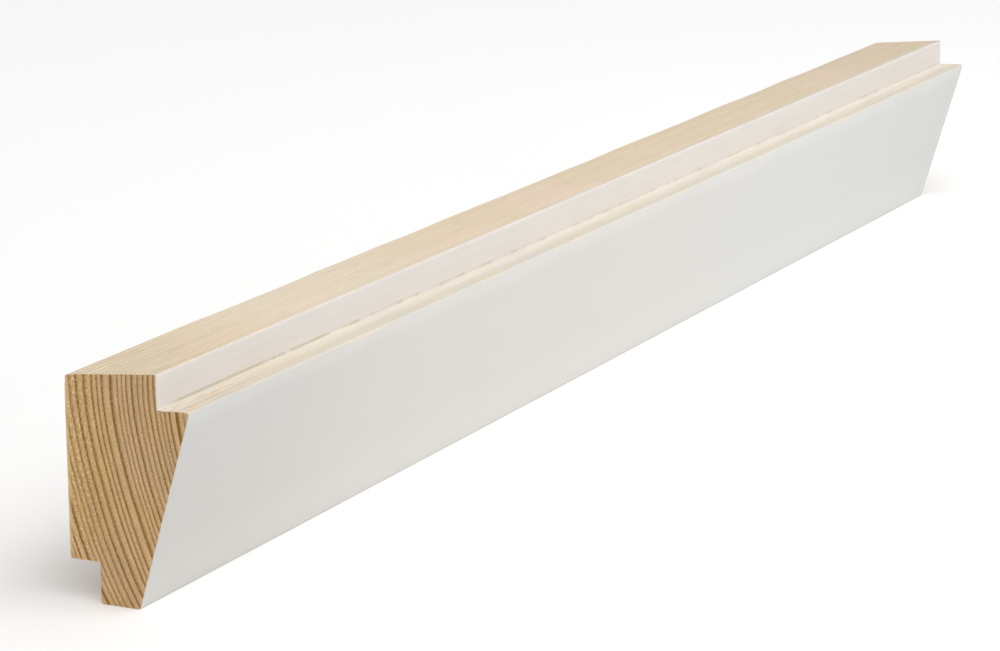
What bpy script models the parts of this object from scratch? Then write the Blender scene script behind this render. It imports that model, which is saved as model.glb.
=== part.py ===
"""A length of solid pine ceiling moulding, square cut at both ends.

Its front face leans in towards a narrow foot, and a shallow step along the top of the front leaves
a dark line under the ceiling. A rebate behind the foot laps over the top edge of a wall panel.
The front, the step and the foot's underside are painted; every other face is bare planed wood.

Metres, +Z up. X runs along the length, the back is on the wall's side, +Y, and the painted front
looks towards -Y. The origin is the middle of the underside of the bounding box.
"""

import math

import bmesh
import bpy
from mathutils import Vector

# Overall size, to the sharp arrises before they are eased.
LENGTH = 0.525
DEPTH = 0.033
HEIGHT = 0.056

# The step along the top of the front: how far the nose stands out from it, and how tall it is.
STEP_DEPTH = 0.0086
STEP_HEIGHT = 0.0083
# The ledge under the step rises this much on its way out to the nose.
LEDGE_RISE = 0.0004
# The top falls this much towards the back, so that only its front arris meets the ceiling.
TOP_FALL = 0.0023

# The rebate behind the foot, and the width of the foot itself.
REBATE_DEPTH = 0.008
REBATE_HEIGHT = 0.010
FOOT_WIDTH = 0.0104

# Radii of the eased arrises, and of the two inner corners that the cutters leave.
BACK_FOOT_RADIUS = 0.0003
TOP_BACK_RADIUS = 0.0006
TOP_FRONT_RADIUS = 0.0003
STEP_CORNER_RADIUS = 0.0004
NOSE_RADIUS = 0.0005
FOOT_FRONT_RADIUS = 0.0005
FOOT_BACK_RADIUS = 0.0006
REBATE_CORNER_RADIUS = 0.0004
SEGMENTS_PER_CORNER = 5

SMOOTH_UNDER = math.radians(30)
WELD_DISTANCE = 0.000001

PINE_COLOUR = (0.74, 0.58, 0.38, 1.0)
PINE_ROUGHNESS = 0.65
PAINT_COLOUR = (0.80, 0.79, 0.75, 1.0)
PAINT_ROUGHNESS = 0.45


def clear_scene():
    for obj in list(bpy.data.objects):
        bpy.data.objects.remove(obj, do_unlink=True)


def make_collection(name):
    collection = bpy.data.collections.new(name)
    bpy.context.scene.collection.children.link(collection)
    return collection


def make_material(name, colour, roughness):
    material = bpy.data.materials.new(name)
    material.use_nodes = True
    shader = material.node_tree.nodes["Principled BSDF"]
    shader.inputs["Base Color"].default_value = colour
    shader.inputs["Roughness"].default_value = roughness
    shader.inputs["Metallic"].default_value = 0.0
    return material


def section_corners():
    """The section's sharp corners as (distance from the back, height, radius), up the back first."""
    top_width = DEPTH - STEP_DEPTH
    ledge_height = HEIGHT - STEP_HEIGHT
    foot_front = REBATE_DEPTH + FOOT_WIDTH
    return [
        (0.0, REBATE_HEIGHT, BACK_FOOT_RADIUS),
        (0.0, HEIGHT - TOP_FALL, TOP_BACK_RADIUS),
        (top_width, HEIGHT, TOP_FRONT_RADIUS),
        (top_width, ledge_height, STEP_CORNER_RADIUS),
        (DEPTH, ledge_height + LEDGE_RISE, NOSE_RADIUS),
        (foot_front, 0.0, FOOT_FRONT_RADIUS),
        (REBATE_DEPTH, 0.0, FOOT_BACK_RADIUS),
        (REBATE_DEPTH, REBATE_HEIGHT, REBATE_CORNER_RADIUS),
    ]


def corner_arc(before, corner, after, radius):
    """Points along the arc of this radius that touches both sides of the corner."""
    to_before = (before - corner).normalized()
    to_after = (after - corner).normalized()
    half_angle = to_before.angle(to_after) / 2
    centre = corner + (to_before + to_after).normalized() * radius / math.sin(half_angle)
    reach = radius / math.tan(half_angle)
    start = (corner + to_before * reach - centre).normalized()
    end = (corner + to_after * reach - centre).normalized()
    steps = range(SEGMENTS_PER_CORNER + 1)
    return [centre + start.slerp(end, i / SEGMENTS_PER_CORNER) * radius for i in steps]


def section_outline():
    """The section with its corners rounded, its depth centred on 0 and its foot on height 0."""
    corners = section_corners()
    places = [Vector((depth, height)) for depth, height, _ in corners]
    outline = []
    for i, (_, _, radius) in enumerate(corners):
        after = places[(i + 1) % len(places)]
        outline += corner_arc(places[i - 1], places[i], after, radius)
    depths = [point.x for point in outline]
    centring = Vector(((min(depths) + max(depths)) / 2, min(point.y for point in outline)))
    return [point - centring for point in outline]


def extrude_section(name, outline, length, collection):
    """A mesh object with this section: locally X is towards the front, Y is up and Z along the length."""
    curve = bpy.data.curves.new(name + "_section", "CURVE")
    curve.dimensions = "2D"
    curve.fill_mode = "BOTH"
    curve.extrude = length / 2
    spline = curve.splines.new("POLY")
    spline.points.add(len(outline) - 1)
    for point, place in zip(spline.points, outline):
        point.co = (place.x, place.y, 0.0, 1.0)
    spline.use_cyclic_u = True

    guide = bpy.data.objects.new(name + "_section", curve)
    guide.rotation_euler = (math.pi / 2, 0.0, -math.pi / 2)
    collection.objects.link(guide)
    bpy.context.view_layer.update()
    graph = bpy.context.evaluated_depsgraph_get()
    mesh = bpy.data.meshes.new_from_object(guide.evaluated_get(graph))
    mesh.name = name
    obj = bpy.data.objects.new(name, mesh)
    obj.matrix_world = guide.matrix_world
    collection.objects.link(obj)
    bpy.data.objects.remove(guide, do_unlink=True)
    bpy.data.curves.remove(curve)
    return obj


def weld_caps(mesh):
    work = bmesh.new()
    work.from_mesh(mesh)
    bmesh.ops.remove_doubles(work, verts=work.verts, dist=WELD_DISTANCE)
    bmesh.ops.recalc_face_normals(work, faces=work.faces)
    work.to_mesh(mesh)
    work.free()


def is_painted(face):
    """True for the faces of the front and the step, and for the foot's underside."""
    to_front, up = face.normal.x, face.normal.y
    under_foot = -up > abs(to_front) and face.center.y < REBATE_HEIGHT / 2
    return to_front > abs(up) or under_foot


def finish_surface(mesh, bare, painted):
    mesh.materials.clear()
    mesh.materials.append(bare)
    mesh.materials.append(painted)
    for face in mesh.polygons:
        face.material_index = int(is_painted(face))
    mesh.shade_smooth()
    mesh.set_sharp_from_angle(angle=SMOOTH_UNDER)


def build_moulding(collection):
    moulding = extrude_section("moulding", section_outline(), LENGTH, collection)
    weld_caps(moulding.data)
    bare = make_material("planed_pine", PINE_COLOUR, PINE_ROUGHNESS)
    painted = make_material("off_white_paint", PAINT_COLOUR, PAINT_ROUGHNESS)
    finish_surface(moulding.data, bare, painted)


clear_scene()
build_moulding(make_collection("ceiling_moulding"))
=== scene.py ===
"""Studio view of a length of pine ceiling moulding, painted on its front.

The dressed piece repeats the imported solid's section, with finer arrises, eased saw cuts and the
slight unevenness of planed wood. Growth rings run through the whole piece round one pith, so the
sawn ends, the top, the back and the rebate all show the same tree.
"""

import math

import bpy
from mathutils import Matrix, Vector, noise


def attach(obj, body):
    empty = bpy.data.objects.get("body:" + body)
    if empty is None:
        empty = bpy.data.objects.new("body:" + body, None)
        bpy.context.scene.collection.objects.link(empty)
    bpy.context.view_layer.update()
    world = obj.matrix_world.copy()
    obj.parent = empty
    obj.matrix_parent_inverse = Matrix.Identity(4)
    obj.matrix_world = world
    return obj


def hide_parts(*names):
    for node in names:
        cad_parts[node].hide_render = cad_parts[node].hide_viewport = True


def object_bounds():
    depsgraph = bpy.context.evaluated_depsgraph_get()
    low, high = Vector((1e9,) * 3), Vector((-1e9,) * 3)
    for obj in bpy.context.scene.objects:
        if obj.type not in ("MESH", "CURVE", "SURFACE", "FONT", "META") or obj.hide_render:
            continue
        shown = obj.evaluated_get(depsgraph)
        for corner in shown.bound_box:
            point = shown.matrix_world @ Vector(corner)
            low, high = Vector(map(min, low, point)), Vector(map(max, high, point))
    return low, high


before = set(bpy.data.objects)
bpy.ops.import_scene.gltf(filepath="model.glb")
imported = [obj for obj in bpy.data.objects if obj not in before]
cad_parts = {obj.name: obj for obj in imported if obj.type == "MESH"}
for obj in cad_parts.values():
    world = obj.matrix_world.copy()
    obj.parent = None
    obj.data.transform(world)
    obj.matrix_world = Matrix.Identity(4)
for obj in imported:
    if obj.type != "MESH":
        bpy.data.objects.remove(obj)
cad_low, cad_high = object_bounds()

MM = 0.001
LENGTH = cad_high.x - cad_low.x
LENGTH_MM = LENGTH / MM

# The section, to its sharp arrises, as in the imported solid.
DEPTH = 0.033
HEIGHT = 0.056
STEP_DEPTH = 0.0086
STEP_HEIGHT = 0.0083
LEDGE_RISE = 0.0004
TOP_FALL = 0.0023
REBATE_DEPTH = 0.008
REBATE_HEIGHT = 0.010
FOOT_WIDTH = 0.0104
BACK_FOOT_RADIUS = 0.0003
TOP_BACK_RADIUS = 0.0006
TOP_FRONT_RADIUS = 0.0003
STEP_CORNER_RADIUS = 0.0004
NOSE_RADIUS = 0.0005
FOOT_FRONT_RADIUS = 0.0005
FOOT_BACK_RADIUS = 0.0006
REBATE_CORNER_RADIUS = 0.0004

# The corners of the section, in the order of its outline.
BACK_FOOT, TOP_BACK, TOP_FRONT, STEP_CORNER, NOSE, FOOT_FRONT, FOOT_BACK, REBATE_CORNER = range(8)

# How finely the piece is meshed.
SEGMENTS_PER_CORNER = 8
FLAT_SPACING = 0.0011
LENGTH_SPACING = 0.0042
END_SPACINGS = (0.0004, 0.0006, 0.0008, 0.0010, 0.0014, 0.0020, 0.0028)
CUT_EASE = 0.00005
SHARP_ANGLE = math.radians(40)

# The export's map: its margin, the part of its height for the long faces, and an end's scale.
MAP_MARGIN = 0.006
MAP_LONG_SHARE = 0.42
MAP_END_SCALE = 1.0 / 0.105
MAP_SECOND_END = 0.5

# Unevenness of the wood, always inwards from the solid's faces.
PLANING_WAVE = 0.00004
PLANING_WAVE_LENGTH = 0.045
PLANING_WAVE_WIDTH = 0.012
# The top's back arris wanders, and the front rolls in a little towards the nose.
ARRIS_WAVE = 0.00030
ARRIS_WAVE_LENGTH = 0.028
ARRIS_WAVE_REACH = 0.004
ARRIS_WAVE_SEED = 3.7
NOSE_ROLL = 0.00012
NOSE_ROLL_REACH = 0.0035
NOSE_ROLL_ON_LEDGE = 0.0012

# The tree: its pith, from the back and the foot, and the width of a year's ring.
PITH_DEPTH = 200.6
PITH_HEIGHT = 82.5
FIRST_RING = 172.92
RING_WIDTH = 1.529
# Runs of better and worse years, as (share of a ring, years' width in mm, where it starts).
GROWTH_SWELLS = ((0.581, 32.9, 182.3), (0.170, 8.17, 196.1), (0.121, 5.71, 183.6))
# The rings bend a little more than circles towards the top and the foot, in mm there.
RING_BEND = 1.33
RING_LEAN = 0.31
RING_DRIFT = 0.16
RING_WAVER = 0.05
# How the latewood rises and falls within a year, and where its outer edge lies.
LATEWOOD_RISE = (0.35, 0.82)
LATEWOOD_FALL = (0.86, 1.0)
LINE_OUTER_EDGE = 0.10
# How much one year differs from the next, from least to most.
RING_SEED = 793271
SAWN_LINE_STRENGTHS = (0.58, 1.12)
PLANED_LINE_STRENGTHS = (0.2, 1.0)
YEAR_TONE_SEED = 17.0
YEAR_TONES = (-0.05, 0.05)

# Colours of the wood and the paint, as linear red, green and blue.
GOLDEN_TAN = (0.552, 0.360, 0.150, 1.0)
PINKISH_TAN = (0.548, 0.370, 0.200, 1.0)
DARK_LATEWOOD = (0.230, 0.100, 0.010, 1.0)
PALE_BACK_EDGE = (0.740, 0.530, 0.255, 1.0)
PALE_RESIN = (0.800, 0.590, 0.400, 1.0)
YELLOWISH_PINE = (0.750, 0.628, 0.451, 1.0)
PINKISH_PINE = (0.793, 0.639, 0.492, 1.0)
PALE_PINE = (0.788, 0.687, 0.559, 1.0)
PLANED_LATEWOOD = (0.480, 0.330, 0.170, 1.0)
DARK_SPECK = (0.400, 0.280, 0.160, 1.0)
# Painted shade for the top's front corner at the right end.
SHADED_PINE = (0.420, 0.350, 0.240, 1.0)
WARM_PAINT = (0.596, 0.578, 0.545, 1.0)
COOL_PAINT = (0.596, 0.594, 0.571, 1.0)
# Painted light: the step's coat, lighter and pinker than the front's paint.
LIT_STEP_PAINT = (0.633, 0.596, 0.562, 1.0)
CREAM_OVERSPRAY = (0.770, 0.716, 0.642, 1.0)
TAN_OVERSPRAY = (0.668, 0.614, 0.518, 1.0)
# Bare wood with painted shade, for the crease under the step.
MISSED_AND_SHADED_CORNER = (0.360, 0.290, 0.080, 1.0)
TORN_WOOD = (0.450, 0.300, 0.150, 1.0)
FLOOR_WHITE = (0.990, 0.990, 0.990, 1.0)

# Patterns in the wood and the paint, as how often they change per mm of x, y and z.
RING_DRIFTS = (0.008, 0.05, 0.05)
RING_WAVERS = (0.03, 0.35, 0.35)
SAW_FUZZ = (0.0, 2.0, 1.7)
END_TINTS = (0.0, 0.09, 0.06)
END_CLOUDS = (0.0, 0.25, 0.16)
RESIN_FLECKS = (0.0, 2.1, 1.3)
FIBRES = (0.018, 1.5, 1.5)
SHORT_FIBRES = (0.14, 2.0, 2.0)
STREAKS = (0.004, 0.35, 0.35)
WOOD_CLOUDS = (0.018, 0.03, 0.03)
SPECKS = (0.12, 1.1, 1.1)
PAINT_CLOUDS = (0.007, 0.02, 0.02)
PAINT_GRAIN = (0.5, 0.8, 0.8)
BAND_WAVERS = (0.025, 0.0, 0.0)
STEP_MOTTLE = (0.04, 0.4, 0.4)
SPRAY_DRIFTS = (0.04, 0.9, 0.9)
SPRAY_FLECKS = (0.16, 1.2, 1.2)
RAGGED_EDGES = (0.09, 0.9, 0.9)
EDGE_WANDERS = (0.030, 0.0, 0.0)
CREASE_DASHES = (0.12, 0.0, 0.0)

# Stretches of the length where the look changes, in mm from the photograph's left end.
TORN_EDGE = (0.05, 0.30)
ROUGH_GRAIN_ENDS = (10.0, 55.0)
CLEAR_GRAIN_ENDS = (20.0, 75.0)
# Painted shade on the bare wood near the left end.
WOOD_SHADED_START_ENDS = (15.0, 50.0)
PALE_STRETCH_STARTS = (40.0, 75.0)
PALE_STRETCH_ENDS = (105.0, 170.0)
# Painted light and shade on the bare wood along the length.
WOOD_LIGHT_FALLS = (50.0, 400.0)
TOP_YELLOWS = (380.0, 500.0)
# Painted shade on the bare wood towards the right end.
RIGHT_END_SHADE = (400.0, LENGTH_MM)
# Painted shade on the top's front corner at the right end.
SHADE_ALONG = (LENGTH_MM - 9.0, LENGTH_MM - 1.0)
COOL_START_ENDS = (0.0, 90.0)
# Painted shade: the front's paint darkens towards the left end.
PAINT_SHADED_START_ENDS = (10.0, 120.0)
PAINT_COOLS = (200.0, 420.0)
# Painted shade: the front's paint darkens towards the right end.
PAINT_SHADE_TO_RIGHT = (230.0, 400.0)
PATCHY_LEDGE_ENDS = (5.0, 60.0)
WOODY_LEDGE_ENDS = (5.0, 110.0)
# Painted shade: the overspray darkens towards the right end.
SPRAY_SHADE_TO_RIGHT = (400.0, 510.0)
EDGE_STARTS_TO_WANDER = (0.0, 60.0)
LAP_WIDENS = (20.0, 450.0)
CREASE_STARTS = (2.0, 12.0)
LONG_DASHES_END = (10.0, 120.0)
CREASE_WEAKENS = (10.0, 300.0)

# Places across the section where the look changes, in mm: from the back, up from the foot, up
# the step, from the step's corner or outside the paint's edge.
PALE_BACK_EDGE_WIDTH = (0.2, 1.2)
GOLDEN_FROM_BACK = (2.0, 16.0)
FLECKS_FROM_BACK = (1.0, 13.0)
FLECKS_HEIGHT = (16.0, 44.0)
LEDGE_HEIGHT_MM = (HEIGHT - STEP_HEIGHT) / MM
# Painted highlight on the front under the nose, and painted light on the front above the foot.
NOSE_HIGHLIGHT_BAND = (LEDGE_HEIGHT_MM - 5.2, LEDGE_HEIGHT_MM - 1.7)
FOOT_LIGHT_BAND = (18.0, 3.0)
BAND_WAVER = 1.5
STEP_FLAT_MM = (STEP_HEIGHT - STEP_CORNER_RADIUS - TOP_FRONT_RADIUS) / MM
# Painted highlight on the step just under the arris.
UNDER_ARRIS = (STEP_FLAT_MM - 1.0, STEP_FLAT_MM - 0.2)
OVER_ARRIS = (STEP_FLAT_MM + 0.1, STEP_FLAT_MM + 0.3)
# Painted light, lightening the step towards its corner.
LOW_ON_STEP = (STEP_FLAT_MM - 0.6, 0.0)
LEDGE_MIDDLE_MM = STEP_DEPTH / MM / 2
MIDDLE_OF_LEDGE = (-LEDGE_MIDDLE_MM - 0.3, -LEDGE_MIDDLE_MM + 0.3)
CREASE_ON_LEDGE = 0.15
CREASE_WIDTH = (0.08, 0.56)
SHADE_ACROSS = (-3.2, -0.5)
# The cream's end and the tan's start across the ledge, as shares of the ledge.
CREAM_TO_TAN = (0.20, 0.72)

# The coat's edge: where it starts and is whole, inside its outline, and how it strays, in mm.
COAT_EDGE = (-0.10, 0.15)
NOSE_COAT_EDGE = (-1.80, 0.60)
LAP_AT_LEFT = 0.15
LAP_AT_RIGHT = 2.7
EDGE_RAGGEDNESS = 0.30
NOSE_EDGE_WANDER = 1.8
TOP_EDGE_WANDER = 0.5

# How proud the rough parts stand, in metres.
SAWN_RELIEF = 0.00004
PLANED_RELIEF = 0.00002

# Camera, as found from the photographed edges. Its Y is measured from the moulding's back.
CAMERA_X = -0.9315
CAMERA_FROM_BACK = 0.4419
CAMERA_Z = 0.2541
CAMERA_AZIMUTH = math.radians(-63.666)
CAMERA_ELEVATION = math.radians(13.428)
CAMERA_ROLL = math.radians(-0.478)
CAMERA_LENS = 129.90
SENSOR_WIDTH = 36.0

# The studio's lights and floor.
KEY_SPREAD = math.radians(50)
SOFTBOX_SIZE = (0.5, 0.3)
SOFTBOX_AIM = 0.02
FLOOR_REACH = 14.0


def section_corners():
    """The section's sharp corners as (distance from the back, height, radius), up the back first."""
    top_width = DEPTH - STEP_DEPTH
    ledge_height = HEIGHT - STEP_HEIGHT
    foot_front = REBATE_DEPTH + FOOT_WIDTH
    return [
        (0.0, REBATE_HEIGHT, BACK_FOOT_RADIUS),
        (0.0, HEIGHT - TOP_FALL, TOP_BACK_RADIUS),
        (top_width, HEIGHT, TOP_FRONT_RADIUS),
        (top_width, ledge_height, STEP_CORNER_RADIUS),
        (DEPTH, ledge_height + LEDGE_RISE, NOSE_RADIUS),
        (foot_front, 0.0, FOOT_FRONT_RADIUS),
        (REBATE_DEPTH, 0.0, FOOT_BACK_RADIUS),
        (REBATE_DEPTH, REBATE_HEIGHT, REBATE_CORNER_RADIUS),
    ]


def corner_arc(before, corner, after, radius):
    """Points along the arc of this radius that touches both sides of the corner."""
    to_before = (before - corner).normalized()
    to_after = (after - corner).normalized()
    half_angle = to_before.angle(to_after) / 2
    centre = corner + (to_before + to_after).normalized() * radius / math.sin(half_angle)
    reach = radius / math.tan(half_angle)
    start = (corner + to_before * reach - centre).normalized()
    end = (corner + to_after * reach - centre).normalized()
    steps = range(SEGMENTS_PER_CORNER + 1)
    return [centre + start.slerp(end, i / SEGMENTS_PER_CORNER) * radius for i in steps]


def fine_outline():
    """The section's points as (depth, height), and each corner's (start, end) along the outline."""
    corners = section_corners()
    places = [Vector((depth, height)) for depth, height, _ in corners]
    arcs = []
    for i, (_, _, radius) in enumerate(corners):
        arcs.append(corner_arc(places[i - 1], places[i], places[(i + 1) % len(places)], radius))
    points, spans, travelled = [], [], 0.0
    for i, arc in enumerate(arcs):
        start = travelled
        for before, after in zip(arc, arc[1:]):
            travelled += (after - before).length
        spans.append((start, travelled))
        points += arc
        flat = arcs[(i + 1) % len(arcs)][0] - arc[-1]
        pieces = max(1, round(flat.length / FLAT_SPACING))
        points += [arc[-1] + flat * step / pieces for step in range(1, pieces)]
        travelled += flat.length
    return points, spans


def distances_along(points):
    """Each point's distance along the closed outline, and the outline's whole length."""
    distances = [0.0]
    for before, after in zip(points, points[1:] + points[:1]):
        distances.append(distances[-1] + (after - before).length)
    return distances[:-1], distances[-1]


def inward_directions(points):
    """The direction into the wood at each point of the outline, which runs clockwise."""
    directions = []
    for i in range(len(points)):
        run = (points[(i + 1) % len(points)] - points[i - 1]).normalized()
        directions.append(Vector((run.y, -run.x)))
    return directions


def stations(half_length):
    """Places along the length, close together near the saw cuts."""
    near = [half_length - CUT_EASE]
    for spacing in END_SPACINGS:
        near.append(near[-1] - spacing)
    middle = 2 * near[-1]
    count = math.ceil(middle / LENGTH_SPACING)
    between = [-near[-1] + middle * i / count for i in range(1, count)]
    return [-half_length] + [-place for place in near] + between + near[::-1] + [half_length]


def smooth_share(value, start, end):
    """0 at start, 1 at end and a smooth rise between them."""
    share = min(1.0, max(0.0, (value - start) / (end - start)))
    return share * share * (3 - 2 * share)


def unevenness(x, point, along, spans):
    """How far the real face lies inside the solid's here."""
    across = point / PLANING_WAVE_WIDTH
    wave = noise.noise(Vector((x / PLANING_WAVE_LENGTH, across.x, across.y)))
    inwards = PLANING_WAVE * (0.5 + 0.5 * wave)
    top_back = Vector((0.0, HEIGHT - TOP_FALL))
    near_arris = smooth_share((point - top_back).length, ARRIS_WAVE_REACH, 0.0)
    wander = noise.noise(Vector((x / ARRIS_WAVE_LENGTH, ARRIS_WAVE_SEED, 0.0)))
    inwards += ARRIS_WAVE * near_arris * max(0.0, 0.3 + wander)
    before_nose = max(0.0, spans[NOSE][0] - along) / NOSE_ROLL_ON_LEDGE
    after_nose = max(0.0, along - spans[NOSE][1]) / NOSE_ROLL_REACH
    roll = max(0.0, 1.0 - before_nose - after_nose)
    return inwards + NOSE_ROLL * roll * roll


def paint_reach(along, spans):
    """How far inside the painted stretches of the outline this place is, below 0 on bare wood."""
    step_start = sum(spans[TOP_FRONT]) / 2
    step_end = sum(spans[STEP_CORNER]) / 2
    front_start = spans[NOSE][1]
    front_end = spans[FOOT_BACK][0]
    on_step = min(along - step_start, step_end - along)
    on_front = min(along - front_start, front_end - along)
    return max(on_step, on_front)


def ledge_share(along, spans):
    """Across the ledge, from 0 at the step to 1 at the nose, and below 0 off the ledge."""
    start, end = spans[STEP_CORNER][0], spans[NOSE][1]
    if along < start or along > end:
        return -1.0
    return (along - start) / (end - start)


def build_moulding():
    """The dressed moulding, with its paint measured out along the section."""
    points, spans = fine_outline()
    along, whole = distances_along(points)
    inward = inward_directions(points)
    places = stations(LENGTH / 2)
    last, around = len(places) - 1, len(points)

    vertices = []
    for row, x in enumerate(places):
        ease = CUT_EASE if row in (0, last) else 0.0
        for point, into, place in zip(points, inward, along):
            inset = ease + unevenness(x, point, place, spans)
            depth, height = point + into * inset
            y = min(max(cad_high.y - depth, cad_low.y), cad_high.y)
            vertices.append((x, y, min(max(height, cad_low.z), cad_high.z)))

    # Each face's corners run anticlockwise seen from outside, so that it looks outwards.
    faces = []
    for row in range(last):
        for i in range(around):
            after = (i + 1) % around
            low, high = row * around, (row + 1) * around
            faces.append((low + i, low + after, high + after, high + i))
    faces.append(tuple(reversed(range(around))))
    faces.append(tuple(last * around + i for i in range(around)))

    mesh = bpy.data.meshes.new("ceiling_moulding")
    mesh.from_pydata(vertices, [], faces)
    mesh.validate()
    for name, values in (
        ("paint_reach", [paint_reach(place, spans) / MM for place in along]),
        ("ledge", [ledge_share(place, spans) for place in along]),
        ("up_step", [(spans[STEP_CORNER][0] - place) / MM for place in along]),
    ):
        attribute = mesh.attributes.new(name, "FLOAT", "POINT")
        attribute.data.foreach_set("value", values * len(places))
    lay_out_map(mesh, along, whole)

    mesh.materials.append(dressed_wood_material())
    mesh.materials.append(end_grain_material())
    for face in mesh.polygons[-2:]:
        face.material_index = 1
    mesh.shade_smooth()
    mesh.set_sharp_from_angle(angle=SHARP_ANGLE)
    piece = bpy.data.objects.new("ceiling_moulding", mesh)
    bpy.context.scene.collection.objects.link(piece)
    return piece


def lay_out_map(mesh, along, whole):
    """The map that the export bakes through: the long faces below, both sawn ends large above."""
    layer = mesh.uv_layers.new(name="OFBake")
    sides, around = len(mesh.polygons) - 2, len(along)
    for face in mesh.polygons:
        for corner in face.loop_indices:
            vertex = mesh.loops[corner].vertex_index
            x, y, z = mesh.vertices[vertex].co
            if face.index < sides:
                place = along[vertex % around]
                if place == 0.0 and face.index % around == around - 1:
                    place = whole
                u = MAP_MARGIN + (x / LENGTH + 0.5) * (1 - 2 * MAP_MARGIN)
                v = MAP_MARGIN + place / whole * (MAP_LONG_SHARE - 2 * MAP_MARGIN)
            else:
                u = MAP_MARGIN + (cad_high.y - y) * MAP_END_SCALE
                if face.index > sides:
                    u += MAP_SECOND_END
                v = MAP_LONG_SHARE + MAP_MARGIN + z * MAP_END_SCALE
            layer.data[corner].uv = (u, v)


class Shader:
    """Builds one material's nodes. A value may be a number, a vector, a colour or a socket."""

    def __init__(self, name):
        self.material = bpy.data.materials.new(name)
        self.material.use_nodes = True
        self.tree = self.material.node_tree
        self.surface = self.tree.nodes["Principled BSDF"]

    def feed(self, socket, value):
        if isinstance(value, bpy.types.NodeSocket):
            self.tree.links.new(value, socket)
        else:
            socket.default_value = value

    def feed_surface(self, values):
        for name, value in values.items():
            self.feed(self.surface.inputs[name], value)

    def node(self, kind, **settings):
        made = self.tree.nodes.new("ShaderNode" + kind)
        for name, value in settings.items():
            setattr(made, name, value)
        return made

    def math(self, operation, *values):
        made = self.node("Math", operation=operation)
        for socket, value in zip(made.inputs, values):
            self.feed(socket, value)
        return made.outputs[0]

    def sum(self, *values):
        total = values[0]
        for value in values[1:]:
            total = self.math("ADD", total, value)
        return total

    def times(self, *values):
        product = values[0]
        for value in values[1:]:
            product = self.math("MULTIPLY", product, value)
        return product

    def ramp(self, value, start, end, low=0.0, high=1.0, shape="SMOOTHSTEP"):
        """A change from low to high as value goes from start to end."""
        made = self.node("MapRange", interpolation_type=shape)
        for socket, number in zip(made.inputs, (value, start, end, low, high)):
            self.feed(socket, number)
        return made.outputs[0]

    def place(self, *scales):
        """The place on the piece in mm, times each axis's scale."""
        coordinates = self.node("TexCoord").outputs["Object"]
        made = self.node("VectorMath", operation="MULTIPLY")
        self.feed(made.inputs[0], coordinates)
        self.feed(made.inputs[1], [scale / MM for scale in scales])
        return made.outputs[0]

    def axes(self):
        """The place on the piece as x, y and z in mm."""
        made = self.node("SeparateXYZ")
        self.feed(made.inputs[0], self.place(1.0, 1.0, 1.0))
        return made.outputs

    def from_left(self):
        """How far along the length this is from the photograph's left end, in mm."""
        return self.math("ADD", self.axes()[0], LENGTH_MM / 2)

    def from_back(self):
        """How far forward of the back this is, in mm."""
        return self.math("SUBTRACT", cad_high.y / MM, self.axes()[1])

    def noise(self, often, detail=2.0, roughness=0.5):
        """Noise about 0, mostly within 0.5 of it, that changes this often per mm of x, y and z."""
        made = self.node("TexNoise", noise_dimensions="3D")
        self.feed(made.inputs["Vector"], self.place(*often))
        for name, value in (("Scale", 1.0), ("Detail", detail), ("Roughness", roughness)):
            made.inputs[name].default_value = value
        return self.math("MULTIPLY_ADD", made.outputs[0], 4.0, -2.0)

    def per_year(self, ring, seed, low, high):
        """A number between low and high that stays the same through one year's ring."""
        made = self.node("TexWhiteNoise", noise_dimensions="1D")
        self.feed(made.inputs["W"], self.math("ADD", ring, seed))
        return self.math("MULTIPLY_ADD", made.outputs["Value"], high - low, low)

    def attribute(self, name):
        return self.node("Attribute", attribute_name=name).outputs["Fac"]

    def mix_as(self, data_type, kind, share, first, second):
        made = self.node("Mix", data_type=data_type)
        for name, value in (("Factor_Float", share), ("A_" + kind, first), ("B_" + kind, second)):
            self.feed(next(s for s in made.inputs if s.identifier == name), value)
        return next(s for s in made.outputs if s.identifier == "Result_" + kind)

    def mix(self, share, first, second):
        """The colour that is first at share 0 and second at share 1."""
        return self.mix_as("RGBA", "Color", share, first, second)

    def blend(self, share, first, second):
        """The number that is first at share 0 and second at share 1."""
        return self.mix_as("FLOAT", "Float", share, first, second)

    def brighten(self, colour, amount):
        """The colour times 1 + amount."""
        made = self.node("VectorMath", operation="SCALE")
        self.feed(made.inputs[0], colour)
        self.feed(made.inputs["Scale"], self.math("ADD", 1.0, amount))
        return made.outputs[0]

    def bump(self, height, distance, strength):
        """The normal for this height, where 1 stands this many metres proud."""
        made = self.node("Bump")
        for name, value in (("Strength", strength), ("Distance", distance), ("Height", height)):
            self.feed(made.inputs[name], value)
        return made.outputs[0]


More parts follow.
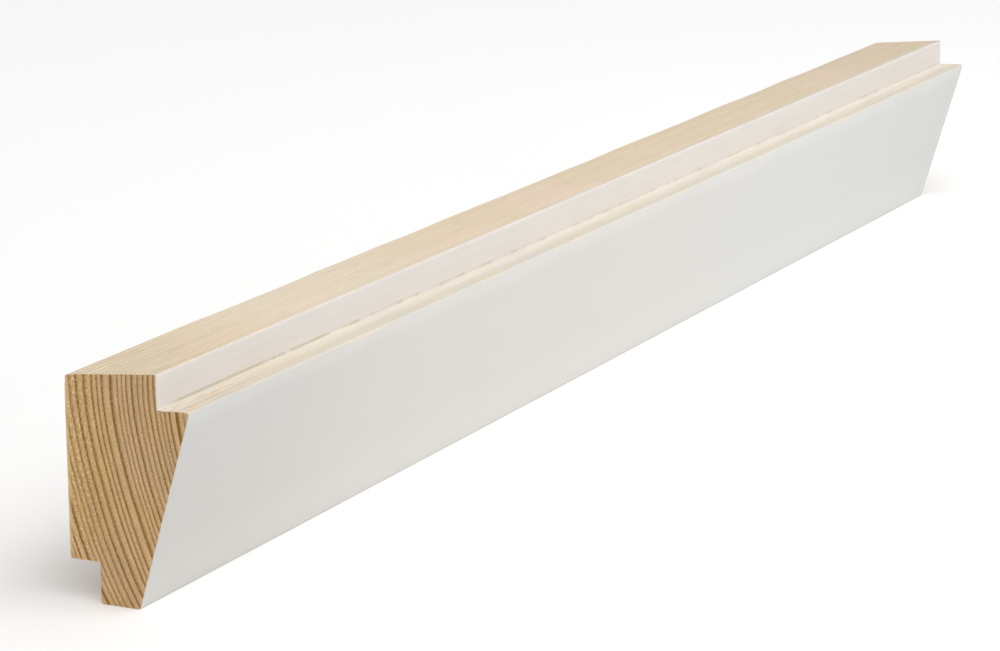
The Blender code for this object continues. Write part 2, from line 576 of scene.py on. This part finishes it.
def growth_rings(shader):
    """(latewood, ring number): latewood rises from 0 to 1 through each year and ends sharply."""
    height = shader.axes()[2]
    forward = shader.math("SUBTRACT", shader.from_back(), PITH_DEPTH)
    upward = shader.math("SUBTRACT", height, PITH_HEIGHT)
    across = shader.times(forward, forward)
    radius = shader.math("SQRT", shader.math("MULTIPLY_ADD", upward, upward, across))
    half_height = HEIGHT / MM / 2
    level = shader.times(shader.math("SUBTRACT", height, half_height), 1 / half_height)
    squared = shader.times(level, level)
    lean = shader.times(squared, level, RING_LEAN)
    bend = shader.times(squared, squared, RING_BEND)
    drift = shader.times(shader.noise(RING_DRIFTS, detail=1.0), RING_DRIFT)
    waver = shader.times(shader.noise(RING_WAVERS), RING_WAVER)
    radius = shader.sum(radius, lean, bend, drift, waver)
    years = shader.times(shader.math("SUBTRACT", radius, FIRST_RING), 1 / RING_WIDTH)
    for share, wavelength, start in GROWTH_SWELLS:
        turns = shader.times(shader.math("SUBTRACT", radius, start), math.tau / wavelength)
        years = shader.sum(years, shader.times(shader.math("SINE", turns), share))
    # Whole numbers fall on the dark lines' outer edges.
    years = shader.math("SUBTRACT", years, LINE_OUTER_EDGE)
    season = shader.math("FRACT", years)
    rise = shader.ramp(season, *LATEWOOD_RISE)
    fall = shader.ramp(season, *LATEWOOD_FALL, 1.0, 0.0)
    return shader.times(rise, fall), shader.math("FLOOR", years)


def resin_flecks(shader, depth, latewood):
    """Flecks in columns between the dark lines, mostly high up and in the third nearest the back."""
    fleck = shader.ramp(shader.noise(RESIN_FLECKS, detail=1.0), 0.08, 0.50)
    near_back = shader.ramp(depth, *FLECKS_FROM_BACK, 1.0, 0.12)
    high_up = shader.ramp(shader.axes()[2], *FLECKS_HEIGHT, 0.75, 1.0)
    between_lines = shader.ramp(latewood, 0.0, 0.6, 1.0, 0.35)
    return shader.times(fleck, near_back, high_up, between_lines)


def end_grain_material():
    """Pine sawn across: tan years with dark brown latewood, saw fuzz and pale resin flecks."""
    shader = Shader("sawn_end_grain")
    latewood, ring = growth_rings(shader)
    # The years near the back are a little more golden than those near the front.
    depth = shader.from_back()
    tint = shader.times(shader.noise(END_TINTS), 0.7)
    pinkness = shader.sum(shader.ramp(depth, *GOLDEN_FROM_BACK), tint)
    tan = shader.mix(pinkness, GOLDEN_TAN, PINKISH_TAN)
    fuzz = shader.noise(SAW_FUZZ, detail=3.0, roughness=0.75)
    strength = shader.per_year(ring, RING_SEED, *SAWN_LINE_STRENGTHS)
    broken = shader.ramp(fuzz, -0.5, 0.5, 1.15, 0.85)
    colour = shader.mix(shader.times(latewood, strength, broken), tan, DARK_LATEWOOD)
    tone = shader.sum(
        shader.times(fuzz, 0.26),
        shader.times(shader.noise(END_CLOUDS), 0.08),
        shader.per_year(shader.math("ADD", ring, 0.5), YEAR_TONE_SEED, *YEAR_TONES),
    )
    colour = shader.brighten(colour, tone)
    flecks = resin_flecks(shader, depth, latewood)
    colour = shader.mix(shader.times(flecks, 0.80), colour, PALE_RESIN)
    back_edge = shader.ramp(depth, *PALE_BACK_EDGE_WIDTH, 0.60, 0.0)
    colour = shader.mix(back_edge, colour, PALE_BACK_EDGE)
    relief = shader.sum(shader.times(fuzz, 0.8), latewood)
    shader.feed_surface({
        "Base Color": colour,
        "Roughness": 0.85,
        "Specular IOR Level": 0.25,
        "Normal": shader.bump(relief, SAWN_RELIEF, 0.6),
    })
    return shader.material


def planed_pine(shader):
    """(colour, relief) of the bare planed faces: straight grain, faint year lines, small flecks."""
    latewood, ring = growth_rings(shader)
    from_left = shader.from_left()
    fibre = shader.noise(FIBRES, detail=3.0, roughness=0.6)
    short_fibre = shader.noise(SHORT_FIBRES, detail=3.0, roughness=0.7)
    pinkness = shader.sum(shader.noise(WOOD_CLOUDS), shader.ramp(from_left, *TOP_YELLOWS, 0.0, -0.35))
    base = shader.mix(shader.ramp(pinkness, -0.5, 0.5), YELLOWISH_PINE, PINKISH_PINE)
    # The grain shows best near the left end, in short streaks, and a paler stretch follows it.
    clear_grain = shader.ramp(from_left, *CLEAR_GRAIN_ENDS, 1.45, 0.28)
    rough_grain = shader.ramp(from_left, *ROUGH_GRAIN_ENDS, 1.0, 0.15)
    pale_start = shader.ramp(from_left, *PALE_STRETCH_STARTS)
    pale = shader.times(pale_start, shader.ramp(from_left, *PALE_STRETCH_ENDS, 1.0, 0.0))
    base = shader.mix(shader.times(pale, 0.5), base, PALE_PINE)
    strength = shader.per_year(ring, RING_SEED, *PLANED_LINE_STRENGTHS)
    broken = shader.sum(1.0, shader.times(short_fibre, rough_grain, 1.6))
    year = shader.times(latewood, strength, clear_grain, broken, 0.36)
    colour = shader.mix(year, base, PLANED_LATEWOOD)
    # Painted light and shade: the wood is lightest just past the clear grain, darker at the left end,
    # and darkens slowly towards the right end.
    tone = shader.sum(
        shader.ramp(from_left, *WOOD_SHADED_START_ENDS, -0.06, 0.0),
        shader.ramp(from_left, *WOOD_LIGHT_FALLS, 0.09, -0.045, "LINEAR"),
        shader.ramp(from_left, *RIGHT_END_SHADE, 0.0, -0.075, "LINEAR"),
        shader.times(fibre, clear_grain, 0.08),
        shader.times(short_fibre, rough_grain, 0.19),
        shader.times(shader.noise(STREAKS), 0.04),
    )
    colour = shader.brighten(colour, tone)
    speck = shader.ramp(shader.noise(SPECKS, detail=1.0), 0.55, 0.85)
    colour = shader.mix(shader.times(speck, 0.22), colour, DARK_SPECK)
    return colour, shader.sum(fibre, shader.times(latewood, 0.8))


def front_paint(shader):
    """The front's off-white: cooler towards both ends, with a painted highlight along the nose,
    painted light along the foot and painted shade towards both ends.
    """
    from_left = shader.from_left()
    coolness = shader.sum(
        shader.ramp(from_left, *PAINT_COOLS),
        shader.times(shader.noise(PAINT_CLOUDS, detail=1.0), 0.4),
        shader.ramp(from_left, *COOL_START_ENDS, 0.5, 0.0),
    )
    paint = shader.mix(shader.ramp(coolness, 0.0, 1.0), WARM_PAINT, COOL_PAINT)
    height = shader.sum(shader.axes()[2], shader.times(shader.noise(BAND_WAVERS), BAND_WAVER))
    # Painted highlight under the nose and painted light above the foot; painted shade towards both
    # ends.
    tone = shader.sum(
        shader.ramp(height, *NOSE_HIGHLIGHT_BAND, 0.0, 0.055),
        shader.ramp(height, *FOOT_LIGHT_BAND, 0.0, 0.045),
        shader.ramp(from_left, *PAINT_SHADED_START_ENDS, -0.060, 0.0),
        shader.ramp(from_left, *PAINT_SHADE_TO_RIGHT, 0.0, -0.028),
    )
    return shader.brighten(paint, tone)


def step_paint(shader, up_step):
    """The step's coat: the front's paint made lighter and pinker, which is painted light, with a
    painted highlight under the arris and painted light towards the corner below.
    """
    tone = shader.sum(
        shader.ramp(up_step, *UNDER_ARRIS, 0.0, 0.065),
        shader.ramp(up_step, *LOW_ON_STEP, 0.0, 0.085, "LINEAR"),
        shader.times(shader.noise(STEP_MOTTLE, detail=3.0, roughness=0.6), 0.035),
    )
    return shader.brighten(LIT_STEP_PAINT[:3], tone)


def thin_overspray(shader, wood, ledge):
    """The ledge: cream next to the step, tan towards the nose, and woodier near the left end."""
    from_left = shader.from_left()
    drift = shader.noise(SPRAY_DRIFTS, detail=3.0, roughness=0.6)
    fleck = shader.noise(SPRAY_FLECKS, roughness=0.6)
    toward_nose = shader.sum(ledge, shader.times(drift, 0.25), shader.times(fleck, 0.10))
    spray = shader.mix(shader.ramp(toward_nose, *CREAM_TO_TAN), CREAM_OVERSPRAY, TAN_OVERSPRAY)
    # Painted shade towards the right end.
    spray = shader.brighten(spray, shader.ramp(from_left, *SPRAY_SHADE_TO_RIGHT, 0.0, -0.03))
    patchiness = shader.ramp(from_left, *PATCHY_LEDGE_ENDS, 0.90, 0.30)
    bare = shader.sum(
        shader.ramp(from_left, *WOODY_LEDGE_ENDS, 0.52, 0.08),
        shader.times(drift, 0.30),
        shader.times(fleck, patchiness),
    )
    return shader.mix(shader.ramp(bare, 0.0, 1.0, shape="LINEAR"), spray, wood)


def painted_share(shader, from_left, on_top, on_ledge, ragged):
    """How well the coat covers. Its edge laps onto the top, and fades out over the nose."""
    steadiness = shader.ramp(from_left, *EDGE_STARTS_TO_WANDER, 0.3, 1.0)
    wander = shader.times(shader.noise(EDGE_WANDERS), steadiness)
    reach = shader.sum(
        shader.attribute("paint_reach"),
        shader.times(ragged, EDGE_RAGGEDNESS),
        shader.times(wander, on_ledge, NOSE_EDGE_WANDER),
    )
    lap = shader.ramp(from_left, *LAP_WIDENS, -LAP_AT_LEFT, -LAP_AT_RIGHT, "LINEAR")
    lap = shader.sum(lap, shader.times(wander, TOP_EDGE_WANDER))
    edge_start = shader.blend(on_top, COAT_EDGE[0], lap)
    edge_start = shader.blend(on_ledge, edge_start, NOSE_COAT_EDGE[0])
    edge_end = shader.blend(on_ledge, COAT_EDGE[1], NOSE_COAT_EDGE[1])
    return shader.ramp(reach, edge_start, edge_end)


def crease_gaps_and_shade(shader, colour, from_left, up_step):
    """The spray misses the corner under the step in dashes, and more so near the left end; the dark
    line there is bare wood with painted shade in the crease.
    """
    more_missed = shader.ramp(from_left, *LONG_DASHES_END, 0.5, 0.0)
    missed = shader.sum(shader.noise(CREASE_DASHES, detail=3.0, roughness=0.7), more_missed)
    from_crease = shader.math("ABSOLUTE", shader.math("ADD", up_step, CREASE_ON_LEDGE))
    crease = shader.times(
        shader.ramp(from_crease, *CREASE_WIDTH, 1.0, 0.0),
        shader.ramp(missed, -0.10, 0.35, 0.32, 1.0),
        shader.ramp(from_left, *CREASE_WEAKENS, 1.0, 0.60),
        shader.ramp(from_left, *CREASE_STARTS),
    )
    # Painted shade with the bare wood, in the crease under the step.
    return shader.mix(shader.times(crease, 0.52), colour, MISSED_AND_SHADED_CORNER)


def shade_right_corner(shader, colour, from_left, on_top):
    """Painted shade: the top's front corner at the right end is darker."""
    # Painted shade at the right end of the top's front corner.
    corner = shader.times(shader.ramp(from_left, *SHADE_ALONG), on_top)
    corner = shader.times(corner, shader.ramp(shader.attribute("paint_reach"), *SHADE_ACROSS))
    return shader.mix(shader.times(corner, 0.5), colour, SHADED_PINE)


def tear_left_cut(shader, colour, from_left, ragged):
    """The saw has torn the coat at the left cut."""
    from_cut = shader.sum(from_left, shader.times(ragged, EDGE_RAGGEDNESS))
    torn = shader.ramp(from_cut, *TORN_EDGE, 1.0, 0.0)
    return shader.mix(shader.times(torn, 0.8), colour, TORN_WOOD)


def dressed_wood_material():
    """The long faces: bare planed pine, with paint over the front, the step and the foot."""
    shader = Shader("painted_pine")
    wood, wood_relief = planed_pine(shader)
    from_left = shader.from_left()
    ledge = shader.attribute("ledge")
    up_step = shader.attribute("up_step")
    on_ledge = shader.ramp(ledge, -0.02, 0.0)
    on_top = shader.ramp(up_step, *OVER_ARRIS)
    ragged = shader.noise(RAGGED_EDGES, detail=3.0, roughness=0.6)
    like_step = shader.ramp(up_step, *MIDDLE_OF_LEDGE)
    paint = shader.mix(like_step, front_paint(shader), step_paint(shader, up_step))
    bare = shader.mix(on_ledge, wood, thin_overspray(shader, wood, ledge))
    painted = painted_share(shader, from_left, on_top, on_ledge, ragged)
    colour = shader.mix(painted, bare, paint)
    colour = crease_gaps_and_shade(shader, colour, from_left, up_step)
    colour = shade_right_corner(shader, colour, from_left, on_top)
    colour = tear_left_cut(shader, colour, from_left, ragged)
    paint_relief = shader.times(shader.noise(PAINT_GRAIN), 0.6)
    relief = shader.blend(painted, wood_relief, paint_relief)
    shader.feed_surface({
        "Base Color": colour,
        "Roughness": shader.ramp(painted, 0.0, 1.0, 0.72, 0.48),
        "Specular IOR Level": 0.4,
        "Normal": shader.bump(relief, PLANED_RELIEF, 0.5),
    })
    return shader.material


def build_floor():
    """A plain pale studio floor, wide enough to fill every view."""
    mesh = bpy.data.meshes.new("studio_floor")
    corners = [(-1, -1), (1, -1), (1, 1), (-1, 1)]
    places = [(x * FLOOR_REACH, y * FLOOR_REACH, 0.0) for x, y in corners]
    mesh.from_pydata(places, [], [(0, 1, 2, 3)])
    shader = Shader("studio_floor")
    shader.feed_surface({
        "Base Color": FLOOR_WHITE,
        "Roughness": 1.0,
        "Specular IOR Level": 0.0,
    })
    mesh.materials.append(shader.material)
    floor = bpy.data.objects.new("studio_floor", mesh)
    bpy.context.scene.collection.objects.link(floor)
    return floor


def camera_rotation():
    """Columns are the camera's right, up and back directions."""
    level = math.cos(CAMERA_ELEVATION)
    back = Vector((
        math.sin(CAMERA_AZIMUTH) * level,
        -math.cos(CAMERA_AZIMUTH) * level,
        math.sin(CAMERA_ELEVATION),
    ))
    right = Vector((0, 0, 1)).cross(back).normalized()
    up = back.cross(right)
    turned_right = right * math.cos(CAMERA_ROLL) + up * math.sin(CAMERA_ROLL)
    turned_up = up * math.cos(CAMERA_ROLL) - right * math.sin(CAMERA_ROLL)
    return Matrix((turned_right, turned_up, back)).transposed()


def add_camera():
    data = bpy.data.cameras.new("photo_view")
    data.sensor_fit = "HORIZONTAL"
    data.sensor_width = SENSOR_WIDTH
    data.lens = CAMERA_LENS
    data.clip_start = 0.01
    data.clip_end = 100.0
    camera = bpy.data.objects.new("photo_view", data)
    place = (CAMERA_X, cad_high.y - CAMERA_FROM_BACK, CAMERA_Z)
    camera.matrix_world = Matrix.Translation(place) @ camera_rotation().to_4x4()
    bpy.context.scene.collection.objects.link(camera)
    bpy.context.scene.camera = camera


def add_key(name, direction, strength, spread):
    """A soft light as wide as this spread, far enough off to light the floor evenly."""
    data = bpy.data.lights.new(name, "SUN")
    data.energy = strength
    data.angle = spread
    light = bpy.data.objects.new(name, data)
    light.rotation_euler = Vector(direction).to_track_quat("Z", "Y").to_euler()
    bpy.context.scene.collection.objects.link(light)


def add_softbox(name, place, power):
    """A soft light that faces the moulding at its own place along the length."""
    data = bpy.data.lights.new(name, "AREA")
    data.shape = "RECTANGLE"
    data.size, data.size_y = SOFTBOX_SIZE
    data.energy = power
    light = bpy.data.objects.new(name, data)
    direction = Vector((place[0], 0.0, SOFTBOX_AIM)) - Vector(place)
    light.rotation_euler = direction.to_track_quat("-Z", "Y").to_euler()
    light.location = place
    light.visible_camera = False
    bpy.context.scene.collection.objects.link(light)


def add_surround(front, behind):
    """An even white surround, brighter in front of the moulding than behind it."""
    world = bpy.data.worlds.new("studio")
    world.use_nodes = True
    tree = world.node_tree
    direction = tree.nodes.new("ShaderNodeTexCoord")
    axes = tree.nodes.new("ShaderNodeSeparateXYZ")
    change = tree.nodes.new("ShaderNodeMapRange")
    for socket, value in zip(change.inputs[1:5], (-1.0, 1.0, front, behind)):
        socket.default_value = value
    tree.links.new(direction.outputs["Generated"], axes.inputs[0])
    tree.links.new(axes.outputs["Y"], change.inputs[0])
    tree.links.new(change.outputs[0], tree.nodes["Background"].inputs["Strength"])
    tree.nodes["Background"].inputs["Color"].default_value = (1.0, 1.0, 1.0, 1.0)
    bpy.context.scene.world = world


def add_light():
    """A soft white studio, lit from above, from the front and from the near end."""
    add_surround(0.30, 0.49)
    add_key("near_key", (-0.6, -0.3, 0.7), 1.10, KEY_SPREAD)
    add_key("front_key", (0.0, -0.6, 0.8), 1.01, KEY_SPREAD)
    add_softbox("overhead_softbox", (0.02, -0.40, 0.90), 0.53)
    add_softbox("low_softbox", (0.02, -0.50, 0.12), 0.68)
    add_softbox("far_softbox", (0.25, -0.20, 0.50), 0.315)
    bpy.context.scene.view_settings.view_transform = "Standard"


moulding = build_moulding()
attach(moulding, "root")
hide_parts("moulding")
build_floor()
add_camera()
add_light()
